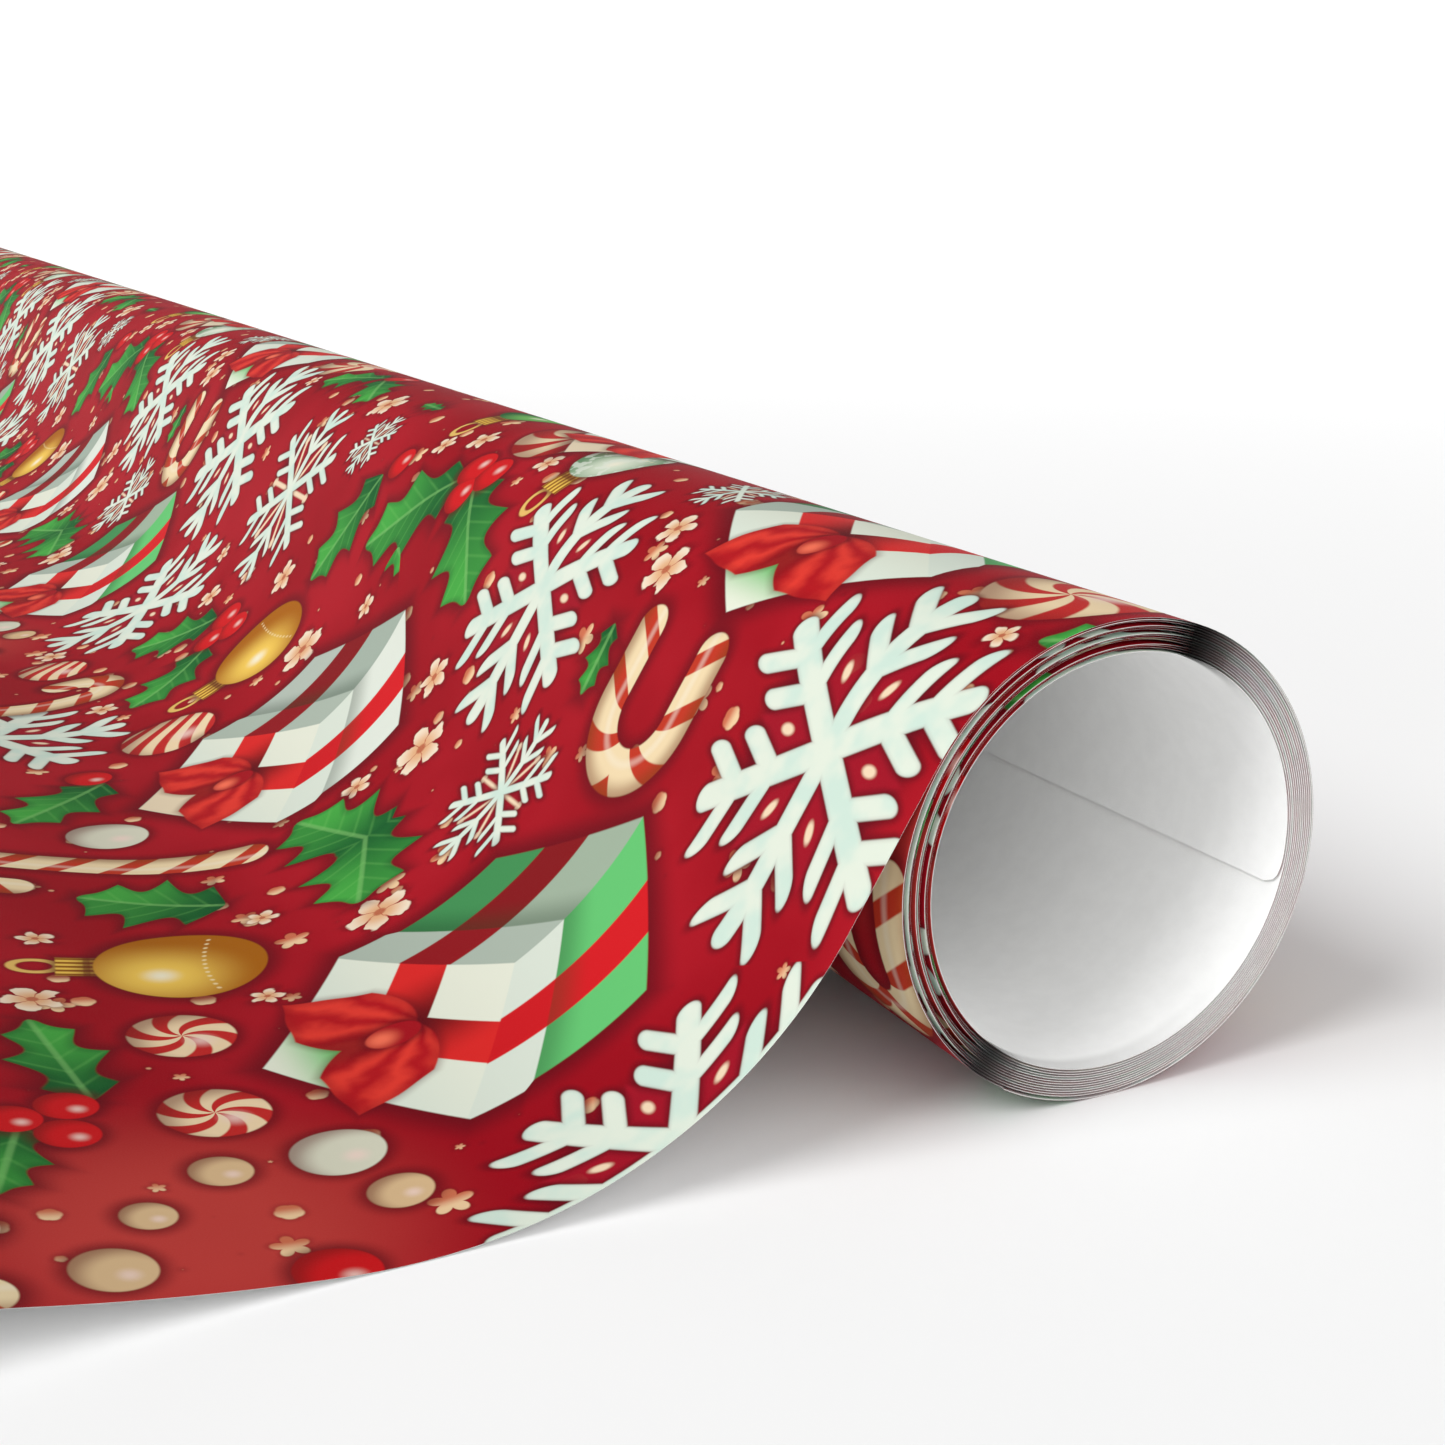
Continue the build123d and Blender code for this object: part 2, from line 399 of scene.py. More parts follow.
def add_leaves(graph, ground, spot):
    offset, (sizes,) = nearest(graph, spot, LEAVES)
    half_length, half_width, angle = graph.parts(sizes)
    along, across = turned(graph, offset, angle)
    side = abs(across)
    share = along / half_length
    leaned = share - side / half_width * 0.22
    spines = 1.0 - abs(graph.math("SINE", leaned * (math.pi * 1.5) + 0.7)) * 0.5
    bulge = graph.math("POWER", graph.most(1.0 - share * share, 0.0), 0.62)
    distance = graph.most((side - half_width * bulge * spines) * 0.7, abs(along) - half_length)
    tone = graph.mix(
        graph.ramp(along / half_length, -1.0, 0.7), rgb(18, 92, 44), rgb(74, 176, 72)
    )
    tone = graph.mix(graph.ramp(across, -0.4, 0.4, 0.0, 0.42), tone, rgb(20, 96, 44))
    veins = graph.math("PINGPONG", along - side * 0.9, 1.6)
    tone = graph.mix(graph.ramp(veins, 0.5, 0.0, 0.0, 0.2), tone, rgb(124, 206, 104))
    tone = graph.mix(graph.ramp(side, 0.5, 0.1, 0.0, 0.45), tone, rgb(140, 208, 120))
    tone = graph.mix(graph.ramp(distance, -1.1, 0.0, 0.0, 0.35), tone, rgb(14, 70, 34))
    return laid(graph, ground, distance, tone, 2.6)


def add_rounds(graph, ground, spot):
    offset, (data,) = nearest(graph, spot, ROUNDS)
    radius, kind, _ = graph.parts(data)
    x, y, _ = graph.parts(offset)
    across, down = x / radius, y / radius
    away = graph.hypot(across, down)
    distance = (away - 1.0) * radius
    swirl = graph.math("ARCTAN2", y, x) * (3 / math.pi) + away * 0.9
    stripe = graph.math("PINGPONG", swirl, 0.5)
    bands = graph.math("PINGPONG", across * 1.3 + down * 1.8 + across * across * 0.5, 0.5)
    stripe = graph.mix(graph.ramp(kind, 1.4, 1.6), stripe, bands, "FLOAT")
    candy = graph.mix(graph.ramp(stripe, 0.2, 0.28), rgb(206, 44, 42), rgb(252, 226, 184))
    pearl = graph.ramp(kind, 0.6, 0.4)
    tone = graph.mix(pearl, candy, rgb(226, 226, 204))
    tone = graph.mix(graph.ramp(kind, -0.4, -0.6), tone, rgb(230, 196, 150))
    berry = graph.ramp(kind, 2.4, 2.6)
    tone = graph.mix(berry, tone, rgb(216, 24, 30))
    lit = graph.hypot(across + 0.28, down + 0.3)
    tone = graph.mix(graph.ramp(lit, 0.7, 1.35, 0.0, 0.6), tone, rgb(110, 24, 24))
    tone = graph.mix(graph.ramp(lit, 0.42, 0.0, 0.0, 0.75), tone, rgb(255, 226, 214))
    return laid(graph, ground, distance, tone, 1.8)


def add_flakes(graph, ground, spot):
    offset, (data,) = nearest(graph, spot, FLAKES)
    radius, thin, _ = graph.parts(data)
    scale = radius / FLAKE_RADIUS
    # Folded into half of one arm's sector, with the arm along the second number.
    sizes = graph.joined(scale * FLAKE_SQUASH, scale, 1.0)
    folded = graph.vector("ABSOLUTE", graph.vector("DIVIDE", offset, sizes))
    over = graph.most(graph.vector("DOT_PRODUCT", folded, (0.866, -0.5, 0.0)), 0.0)
    folded = graph.vector("SUBTRACT", folded, graph.scaled((1.732, -1.0, 0.0), over))
    aside, along, _ = graph.parts(folded)
    aside = abs(aside)
    arm_width = 1.5 - thin * 0.4
    arm = graph.hypot(graph.most(along - FLAKE_ARM, 0.0), aside) - arm_width
    slanted = along * 0.766 - aside * 0.643
    pair = abs(abs(slanted - BRANCHES_AT) - BRANCH_SPREAD)
    branch = graph.hypot(graph.most(aside - BRANCH_TIP, 0.0), pair) - (1.15 - thin * 0.3)
    shape = graph.least(arm, branch)
    gap_along = along * 0.866 + aside * 0.5
    gap_aside = aside * 0.866 - along * 0.5
    drop = graph.hypot((gap_along - GEM_AT) * 0.5, gap_aside) - 0.55
    spoke = graph.hypot(graph.most(gap_along - SPOKE_START, 0.0), gap_aside) - 0.5
    bud = graph.hypot(gap_along - BUD_AT, gap_aside) - 1.1
    extra = graph.mix(thin, drop, graph.least(spoke, bud), "FLOAT")
    gem = abs((gap_along - GEM_AT) * 0.16) + abs(gap_aside) * 0.3 - 1.0
    # The dark ground between the arms, a wine-red gem in each gap, and the drop on it
    around = graph.ramp(graph.vector("LENGTH", folded), 16.0, 11.0, 0.0, 0.85)
    ground = graph.mix(around * graph.ramp(shape * scale, 4.0, 0.5), ground, rgb(104, 8, 26))
    ground = graph.mix(graph.ramp(gem, 0.05, -0.25, 0.0, 0.85), ground, rgb(172, 18, 40))
    ground = graph.mix(graph.inside(extra * scale, 0.4), ground, rgb(250, 224, 190))
    mottle = graph.noise(spot, 0.22)
    tone = graph.mix(graph.ramp(mottle, 0.35, 0.7), rgb(234, 244, 228), rgb(214, 238, 224))
    tone = graph.mix(graph.ramp(shape, -0.5, 0.0, 0.0, 0.4), tone, rgb(196, 196, 186))
    return laid(graph, ground, shape * scale, tone, 1.0, 1.0)


def add_canes(graph, ground, spot):
    offset, (sizes, more) = nearest(graph, spot, CANES)
    crook, left_leg, right_leg = graph.parts(sizes)
    angle, _, _ = graph.parts(more)
    x, y = turned(graph, offset, angle)
    below = graph.most(y, 0.0)
    leg = graph.mix(graph.ramp(x, -0.01, 0.01), left_leg, right_leg, "FLOAT")
    past_end = graph.most(-y - leg, 0.0)
    across = graph.hypot(x, below) - crook
    distance = graph.hypot(across, past_end) - CANE_RADIUS
    along = graph.least(y, 0.0) + graph.math("ARCTAN2", below, abs(x)) * crook
    stripe = graph.math("PINGPONG", along + across * 0.7 + 1.0, 3.4)
    tone = graph.mix(graph.ramp(stripe, 1.1, 1.4), rgb(200, 58, 36), rgb(248, 226, 182))
    tone = graph.mix(graph.ramp(across, 0.2, 2.6, 0.0, 0.6), tone, rgb(132, 62, 20))
    tone = graph.mix(graph.ramp(abs(across + 0.9), 0.8, 0.0, 0.0, 0.35), tone, rgb(255, 248, 230))
    return laid(graph, ground, distance, tone, 2.4)


def add_baubles(graph, ground, spot):
    offset, (data,) = nearest(graph, spot, BAUBLES)
    radius, angle, kind = graph.parts(data)
    x, y = turned(graph, offset, angle)
    ball = graph.hypot(x, y) - radius
    # The loop and the cap stand on the side of +s.
    ring = abs(graph.hypot(x, (y - radius - 5.6) * 0.75) - 1.7) - 0.36
    ground = laid(graph, ground, ring, rgb(238, 196, 108), 0.9, 0.6)
    cap = graph.most(abs(x) - 2.5, abs(y - radius - 1.4) - 2.2)
    ribs = graph.math("PINGPONG", x, 0.55)
    metal = graph.mix(graph.ramp(ribs, 0.1, 0.45), rgb(150, 92, 20), rgb(250, 206, 90))
    groove = graph.ramp(abs(y - radius - 0.6), 0.5, 0.2, 0.0, 0.6)
    metal = graph.mix(groove, metal, rgb(120, 70, 16))
    ground = laid(graph, ground, cap, metal, 1.6)
    lit = graph.hypot(x / radius + 0.3, y / radius - 0.25)
    gold = graph.mix(graph.ramp(lit, 0.1, 1.15), rgb(255, 214, 96), rgb(176, 104, 14))
    mint = graph.mix(graph.ramp(lit, 0.2, 1.1), rgb(226, 238, 214), rgb(110, 150, 110))
    patch = graph.noise(spot, 0.35, 3.0)
    mint = graph.mix(graph.ramp(patch, 0.5, 0.56, 0.0, 0.6), mint, rgb(240, 246, 232))
    green = graph.mix(graph.ramp(lit, 0.2, 1.1), rgb(120, 196, 96), rgb(24, 96, 44))
    tone = graph.mix(graph.ramp(kind, 0.4, 0.6), gold, mint)
    tone = graph.mix(graph.ramp(kind, 1.4, 1.6), tone, green)
    # A dotted line round the ball
    bow = y + radius * 0.27 + x * x * 0.02
    dots = graph.hypot(graph.math("PINGPONG", x, 0.55), bow) - 0.2
    dotted = graph.ramp(dots, 0.16, -0.1, 0.0, 0.75) * graph.ramp(ball, -0.6, -1.2)
    tone = graph.mix(dotted, tone, rgb(255, 240, 190))
    tone = graph.mix(graph.ramp(lit, 0.3, 0.0, 0.0, 0.9), tone, rgb(255, 250, 226))
    return laid(graph, ground, ball, tone, 2.8)


def add_gifts(graph, ground, spot):
    centred = [(x, s + GIFT_MIDDLE, 0.0, white) for x, s, white in GIFTS]
    offset, (data,) = nearest(graph, spot, centred)
    _, white, _ = graph.parts(data)
    x, y, _ = graph.parts(offset)
    y = y + GIFT_MIDDLE
    side = abs(x)
    # Heights above the lowest edges of the near walls and below the lid's far edges
    rise = y - side * GIFT_SLOPE
    fall = y + side * GIFT_SLOPE
    right = graph.ramp(x, -0.12, 0.12)
    wall_inset = graph.ramp(rise, LID_BOTTOM + 0.8, LID_BOTTOM - 0.2, 0.0, LID_OVERHANG)
    outline = graph.most(side - LID_HALF_WIDTH + wall_inset, -rise * ACROSS_EDGE)
    outline = graph.most(outline, (fall - GIFT_HEIGHT) * ACROSS_EDGE)
    ribbon = graph.inside(abs(side - RIBBON_AT) - RIBBON_HALF_WIDTH)
    # The box's two walls
    left_wall = graph.mix(white, rgb(106, 206, 120), rgb(232, 240, 228))
    right_wall = graph.mix(white, rgb(70, 150, 88), rgb(186, 198, 186))
    inner_right = graph.mix(white, rgb(166, 186, 164), rgb(170, 186, 172))
    right_wall = graph.mix(graph.ramp(side, 7.4, 7.0), right_wall, inner_right)
    wall = graph.mix(right, left_wall, right_wall)
    wall_ribbon = graph.mix(right, rgb(222, 28, 36), rgb(140, 22, 28))
    wall = graph.mix(ribbon, wall, wall_ribbon)
    wall = graph.mix(graph.ramp(rise, 7.5, 12.6, 0.0, 0.45), wall, rgb(26, 60, 34))
    # The lid's rim
    rim = graph.mix(right, rgb(226, 236, 222), rgb(178, 192, 178))
    rim = graph.mix(ribbon, rim, graph.mix(right, rgb(214, 26, 34), rgb(150, 22, 30)))
    tone = graph.mix(graph.inside(LID_BOTTOM - rise), wall, rim)
    # The lid's top
    from_middle = graph.ramp(y, GIFT_MIDDLE, GIFT_HEIGHT)
    top = graph.mix(from_middle, rgb(238, 242, 224), rgb(226, 240, 226))
    cross = graph.inside(abs(fall - 31.6) - 3.4) * graph.ramp(side, 14.2, 13.6)
    red = graph.mix(graph.ramp(side, 9.0, 0.0), rgb(228, 42, 40), rgb(110, 14, 20))
    top = graph.mix(cross, top, red)
    tip = graph.inside(fall - GIFT_HEIGHT) * graph.ramp(fall, 35.0, 35.4)
    tip = tip * graph.ramp(side, 7.5, 7.0)
    tip_tone = graph.mix(graph.ramp(y, 36.0, 43.5), rgb(96, 196, 100), rgb(240, 246, 226))
    tip_tone = graph.mix(white, tip_tone, rgb(240, 222, 190))
    top = graph.mix(tip, top, tip_tone)
    tone = graph.mix(graph.inside(LID_TOP - rise), tone, top)
    ground = laid(graph, ground, outline, tone, 4.0, 0.8)
    # The bow: two loops and a knot
    from_knot = y - BOW_AT
    loop_x, loop_y = side - BOW_LOOP_AT, from_knot - BOW_LOOP_RISE
    out_along = loop_x * 0.866 + loop_y * 0.5
    out_across = loop_y * 0.866 - loop_x * 0.5
    lobe = graph.hypot(out_along / 1.55, out_across) - 4.1
    corner = out_along * 0.6 + abs(out_across) * 0.8 - 4.9
    loop = graph.math("SMOOTH_MIN", lobe, graph.most(corner, lobe - 1.2), 1.0)
    turn = graph.math("ARCTAN2", from_knot + 3.0, side)
    fold = graph.math("PINGPONG", turn + graph.noise(spot, 0.3) * 0.3, 0.24)
    satin = graph.mix(graph.ramp(fold, 0.0, 0.24), rgb(188, 20, 30), rgb(236, 62, 50))
    satin = graph.mix(graph.ramp(side, 4.5, 0.5, 0.0, 0.75), satin, rgb(120, 12, 20))
    satin = graph.mix(graph.ramp(loop, -1.4, 0.0, 0.0, 0.4), satin, rgb(150, 16, 26))
    ground = laid(graph, ground, loop, satin, 1.2, 0.5)
    knot = graph.hypot(x + 0.4, from_knot * 0.78) - 2.1
    shine = graph.hypot(x + 0.4, y - 33.0)
    bead = graph.mix(graph.ramp(shine, 0.2, 2.4), rgb(255, 120, 90), rgb(172, 16, 30))
    return laid(graph, ground, knot, bead, 1.0, 0.6)


def print_colour(graph, spot):
    """The print's colour, spot being the place on the flat sheet in mm."""
    cloud = graph.noise(spot, 0.035, 3.0)
    colour = graph.mix(graph.ramp(cloud, 0.3, 0.72), GROUND, GROUND_LIGHT)
    from_pale_patch = graph.vector("LENGTH", from_place(graph, spot, PALE_PATCH))
    pale_patch = graph.ramp(from_pale_patch, PALE_PATCH_OUTER, PALE_PATCH_INNER, 0.0, 0.6)
    colour = graph.mix(pale_patch, colour, PALE_PATCH_RED)
    for cells, salt, largest, lumps in BEADS:
        colour = add_beads(graph, colour, spot, cells, salt, largest, lumps)
    colour = add_flowers(graph, colour, spot)
    colour = add_leaves(graph, colour, spot)
    colour = add_rounds(graph, colour, spot)
    colour = add_flakes(graph, colour, spot)
    colour = add_canes(graph, colour, spot)
    colour = add_baubles(graph, colour, spot)
    return graph.scaled(add_gifts(graph, colour, spot), INK_STRENGTH)


def new_material(name):
    material = bpy.data.materials.new(name)
    material.use_nodes = True
    shader = material.node_tree.nodes["Principled BSDF"]
    return material, Graph(material), shader


def sheet_spot(graph):
    """The place on the flat sheet, in mm."""
    made = graph.node("ShaderNodeUVMap", uv_map="Sheet")
    return graph.scaled(Term(graph, made.outputs[0]), 1 / MM)


def add_fibres(graph, shader, spot, height):
    """The paper's faint tooth, as a bump."""
    fine = graph.noise(spot, 6.0, 3.0, 0.6)
    broad = graph.noise(spot, 0.06, 1.0)
    bump = graph.node("ShaderNodeBump")
    bump.inputs["Strength"].default_value = 0.35
    bump.inputs["Distance"].default_value = height * MM
    graph.feed(bump.inputs["Height"], fine + broad * 6.0)
    graph.tree.links.new(bump.outputs[0], shader.inputs["Normal"])
    return fine


PRINT_GLOSS = 0.05  # specular levels
PAPER_GLOSS = 0.25
PRINT_TOOTH = 0.02  # how high the paper's fibres stand
PAPER_TOOTH = 0.03


def make_printed():
    material, graph, shader = new_material("printed_face")
    spot = sheet_spot(graph)
    colour = print_colour(graph, spot)
    graph.feed(shader.inputs["Base Color"], colour)
    fine = add_fibres(graph, shader, spot, PRINT_TOOTH)
    graph.feed(shader.inputs["Roughness"], graph.ramp(fine, 0.3, 0.7, 0.52, 0.62))
    shader.inputs["Specular IOR Level"].default_value = PRINT_GLOSS
    return material


INK_AND_SHADE = rgb(92, 62, 60)  # the print seen edge on, widened as painted shade between the laps
PAINTED_SHADE_DEPTH = (2.6, 1.2)  # from the sheet's ends, where the painted shade starts and is full


def make_plain(name, light, dark, roughness, ink_and_shade_line=0.0):
    """Bare paper. It is darker by the Edge map's painted shade, near the sheet's two cut ends.

    ink_and_shade_line is the share of a cut edge's thickness, next to the print, that looks dark:
    the print seen edge on, and painted shade between the laps.
    """
    material, graph, shader = new_material(name)
    spot = sheet_spot(graph)
    cloud = graph.noise(spot, 0.4, 4.0, 0.65)
    tone = graph.mix(graph.ramp(cloud, 0.3, 0.7), light, dark)
    made = graph.node("ShaderNodeUVMap", uv_map="Edge")
    depth, shade, _ = graph.parts(Term(graph, made.outputs[0]))
    # A dark band next to the print: the print's edge, and painted shade between the laps
    if ink_and_shade_line:
        ink_and_shade = graph.ramp(depth, ink_and_shade_line + 0.1, ink_and_shade_line - 0.1)
        tone = graph.mix(ink_and_shade, tone, INK_AND_SHADE)
    # Painted shade from the Edge map, kept to near the sheet's two cut ends
    from_near_end, _, _ = graph.parts(spot)
    from_end = graph.least(from_near_end, 2 * HALF_WIDTH - from_near_end)
    shade = shade * graph.ramp(from_end, *PAINTED_SHADE_DEPTH)
    graph.feed(shader.inputs["Base Color"], graph.scaled(tone, 1.0 - shade))
    fine = add_fibres(graph, shader, spot, PAPER_TOOTH)
    graph.feed(shader.inputs["Roughness"], graph.ramp(fine, 0.3, 0.7, roughness, roughness + 0.1))
    shader.inputs["Specular IOR Level"].default_value = PAPER_GLOSS
    return material


PRINTED = make_printed()
PLAIN = make_plain("plain_back", rgb(246, 246, 245), rgb(243, 243, 242), 0.7)
# The cut edge is the same paper as the back, drawn greyer as painted shade.
CUT = make_plain("cut_edge", rgb(226, 224, 222), rgb(212, 209, 207), 0.8, 0.3)

# ---------------------------------------------------------------------------------------
# The sheet's section. A row is (printed point, back point, s), one line of the sheet.
# ---------------------------------------------------------------------------------------


def polar(centre, radius, angle):
    angle = math.radians(angle)
    return np.array([centre[0] + radius * math.cos(angle), centre[1] + radius * math.sin(angle)])


def arc_rows(centre, printed, start, end, s, count):
    """Rows along an arc whose printed face is outside. s is given at the start."""
    rows = []
    for angle in np.linspace(start, end, count + 1):
        at = s - math.radians(angle - start) * printed
        rows.append((polar(centre, printed, angle), polar(centre, printed - PAPER, angle), at))
    return rows


def loose_row(s):
    """The loose end's row at s, counted from where it leaves the roll."""
    point = polar((0, 0), OUTER_RADIUS, LEAVE_ANGLE)
    slope = LEAVE_ANGLE - 90
    direction = polar((0, 0), 1, slope)
    if s <= FALL_LENGTH:
        point = point + direction * s
    else:
        point = point + direction * FALL_LENGTH
        left = s - FALL_LENGTH
        for radius, start, end in BENDS:
            length = radius * math.radians(end - start)
            centre = polar(point, radius, start + 90)
            run = min(left, length)
            slope = start + math.degrees(run / radius)
            point = polar(centre, radius, slope - 90)
            left -= run
            if left <= 1e-9:
                break
    return point, polar(point, PAPER, slope - 90), s


LOOSE_LENGTH = FALL_LENGTH + sum(r * math.radians(b - a) for r, a, b in BENDS)
BACK_CENTRE = polar((0, 0), CENTRE_SHIFT, HALF_TURN_ANGLE)

# Near its two cut ends the paper is thinned, which leaves gaps between the laps to see.
EDGE_TAPER = 1.2  # how far in from the cut
TAPER_POWER = 0.7
EDGE_THINNING = 0.8  # share of the thickness that is lost
OPEN_EDGE_THINNING = 0.45  # the same, for the lap that leads each open bunch
BUNCHED_THINNING = 0.92  # and for the laps behind it
BACK_EDGE_THINNING = 0.0  # and in the half away from the loose end
OUTER_EDGE_THINNING = 0.2  # of the outermost lap, under the roll and up its far side
OUTER_OPEN_LENGTH = 62.0  # how far along that lap the last one goes

SHARP_ANGLE = 40.0  # between faces that aren't shaded as one

PRINTED_SLOT, PLAIN_SLOT, CUT_SLOT = 0, 1, 2


def make_shell(name, rows, half_widths=None, across=24, thinning=None, painted_shades=None):
    """A closed thin shell of paper through the rows, from the far end to the near one.

    Each list has a number for each row: the sheet's half width, the share of its thickness
    that the cut at both ends takes away, and how dark the painted shade on the cut is.
    """
    count = len(rows)
    half_widths = half_widths or [HALF_WIDTH] * count
    thinning = thinning or [EDGE_THINNING] * count
    painted_shades = painted_shades or [0.0] * count
    inset = np.linspace(-1, 1, across - 3) * (HALF_WIDTH - EDGE_TAPER)
    columns = [-HALF_WIDTH, -HALF_WIDTH + EDGE_TAPER / 3, *inset,
               HALF_WIDTH - EDGE_TAPER / 3, HALF_WIDTH]
    points, flats, edges = [], [], []
    for side in (0, 1):
        for (printed_point, back_point, at), half, lost, dark in zip(
            rows, half_widths, thinning, painted_shades
        ):
            for column in columns:
                x = column * half / HALF_WIDTH
                thinned = (abs(column) - HALF_WIDTH + EDGE_TAPER) / EDGE_TAPER
                share = side * (1 - lost * max(0.0, thinned) ** TAPER_POWER)
                point = printed_point + (back_point - printed_point) * share
                points.append((x * MM, -point[0] * MM, point[1] * MM))
                flats.append(((HALF_WIDTH - x) * MM, at * MM))
                # The Edge map holds which face a point is on, and its row's painted shade.
                edges.append((side, dark))
    step = across + 1
    back = count * step
    last = (count - 1) * step
    faces, slots = [], []

    def add(slot, *corners):
        faces.append(corners)
        slots.append(slot)

    for i in range(count - 1):
        for j in range(across):
            a, b = i * step + j, i * step + j + 1
            c, d = b + step, a + step
            add(PRINTED_SLOT, a, b, c, d)
            add(PLAIN_SLOT, back + d, back + c, back + b, back + a)
        a, d = i * step, (i + 1) * step
        add(CUT_SLOT, a, d, back + d, back + a)
        a, d = a + across, d + across
        add(CUT_SLOT, back + a, back + d, d, a)
    for a in range(across):
        b = a + 1
        add(CUT_SLOT, a, b, back + b, back + a)
    for a in range(last, last + across):
        b = a + 1
        add(CUT_SLOT, back + a, back + b, b, a)
    mesh = bpy.data.meshes.new(name)
    mesh.from_pydata(points, [], faces)
    mesh.polygons.foreach_set("material_index", slots)
    mesh.polygons.foreach_set("use_smooth", [True] * len(faces))
    corner_points = np.empty(len(mesh.loops), dtype=int)
    mesh.loops.foreach_get("vertex_index", corner_points)
    for layer_name, values in (("Sheet", flats), ("Edge", edges)):
        layer = mesh.uv_layers.new(name=layer_name)
        layer.data.foreach_set("uv", np.array(values)[corner_points].ravel())
    for material in (PRINTED, PLAIN, CUT):
        mesh.materials.append(material)
    mesh.update()
    flip_if_inside_out(mesh)
    mesh.set_sharp_from_angle(angle=math.radians(SHARP_ANGLE))
    piece = bpy.data.objects.new(name, mesh)
    bpy.context.scene.collection.objects.link(piece)
    length = abs(rows[-1][2] - rows[0][2])
    length * MM
    return piece


def flip_if_inside_out(mesh):
    """Turns all faces over if the closed mesh's volume comes out negative."""
    volume = 0.0
    places = [vertex.co for vertex in mesh.vertices]
    for polygon in mesh.polygons:
        ring = polygon.vertices
        for k in range(1, len(ring) - 1):
            volume += places[ring[0]].dot(places[ring[k]].cross(places[ring[k + 1]]))
    if volume < 0:
        mesh.flip_normals()


def in_frame(point):
    return (0.0, -point[0] * MM, point[1] * MM)


# ---------------------------------------------------------------------------------------
# The camera, at the photograph's angle
# ---------------------------------------------------------------------------------------
CAMERA_PLACE = (0.51096, -0.10183, 0.05866)
SENSOR_WIDTH = 36.0
LENS = 50.23

forward = Vector((-0.86191, 0.42672, -0.27391)).normalized()
right = Vector((0.44369, 0.89618, 0.0)).normalized()
up = right.cross(forward)
camera_data = bpy.data.cameras.new("camera")
camera_data.sensor_width = SENSOR_WIDTH
camera_data.lens = LENS
camera_data.clip_start = 0.01
camera = bpy.data.objects.new("camera", camera_data)
rotation = Matrix((right, up, -forward)).transposed().to_4x4()
camera.matrix_world = Matrix.Translation(CAMERA_PLACE) @ rotation
bpy.context.scene.collection.objects.link(camera)
bpy.context.scene.camera = camera

# ---------------------------------------------------------------------------------------
# The pieces: the loose end from the roll outwards, then the laps from the outermost inwards
# ---------------------------------------------------------------------------------------
ROW_SPACING = 0.8  # between the rows of the loose end
FALL_COUNT = 9  # rows along the part of the first piece that hangs off the roll
ROLL_START = 60.0  # the outermost lap is rigid beyond this angle
roll_start_s = -math.radians(ROLL_START - LEAVE_ANGLE) * OUTER_RADIUS

# The CAD's strips of the loose end, which are also its bodies, and their lengths
STRIPS = [
    ("sheet_fall", FALL_LENGTH), ("sheet_sweep_upper", 19.198), ("sheet_sweep_lower", 19.067),
    ("sheet_landing", 10.807), ("sheet_rise", 22.122), ("sheet_crest", 29.28),
    ("sheet_edge", 28.747),
]
names, lengths = zip(*STRIPS)
bodies = ("outer_lap", *names)
starts = np.concatenate([[0.0], np.cumsum(lengths)])
middles = list((starts[:-1] + starts[1:]) / 2)
cuts = [roll_start_s] + middles[:-1] + [LOOSE_LENGTH]

# Each piece crosses one joint, from the middle of one strip to the middle of the next.
for index, (first, last) in enumerate(zip(cuts[:-1], cuts[1:])):
    if index == 0:
        lap_count = round(-first / ROW_SPACING)
        rows = arc_rows((0, 0), OUTER_RADIUS, ROLL_START, LEAVE_ANGLE, first, lap_count)
        begin = rows[-1][0]
        rows += [loose_row(s) for s in np.linspace(0, last, FALL_COUNT + 1)[1:]]
    else:
        count = round((last - first) / ROW_SPACING)
        rows = [loose_row(s) for s in np.linspace(first, last, count + 1)]
        begin = rows[0][0]
    piece = make_shell(f"loose_end_{index + 1}", rows, across=48)
    bodies[index + 1]
    in_frame(begin)
    in_frame(rows[-1][0])
    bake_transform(piece)
    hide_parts(names[index])

# In the half of the coil that faces the loose end, the laps stand in bunches with wider gaps
# between them. These are the gaps from the innermost one outwards.
GAPS = [0.221, 0.02, 0.02, 0.36, 0.02, 0.02, 0.02, 0.33, 0.02, 0.02, 0.30, 0.02]
shifts = np.concatenate([[0.0], np.cumsum(np.array(GAPS) - (PITCH - PAPER))])
shifts[-1] = min(shifts[-1], 0.0)
LEADING_LAPS = (1, 4, 8, 11, 13)  # the laps with a wide gap outside them
BUNCH_START = 0.02  # share of a front half at each end that keeps the CAD's place
BUNCH_EASE = 0.17  # share over which the bunches then close up
HALF_COUNT = 64  # rows along a half lap
OUTER_COUNT = 88  # and along the outermost lap
BACK_EASE_POWER = 0.35

# Painted shade on the cut laps, at places round the ring: the angle, how dark, and how far that
# reaches before and after
PAINTED_SHADE_PLACES = ((109.0, 0.97, 9.0, 22.0), (-50.0, 0.65, 12.0, 8.0))
UNDER_SHADE_ANGLE = 285.0  # painted shade under the roll, a little darker over a wide reach
UNDER_SHADE_REACH = 40.0
UNDER_SHADE_DEPTH = 0.25


def angle_between(first, second):
    """From the second angle to the first, -180 to 180."""
    return (first - second + 180) % 360 - 180


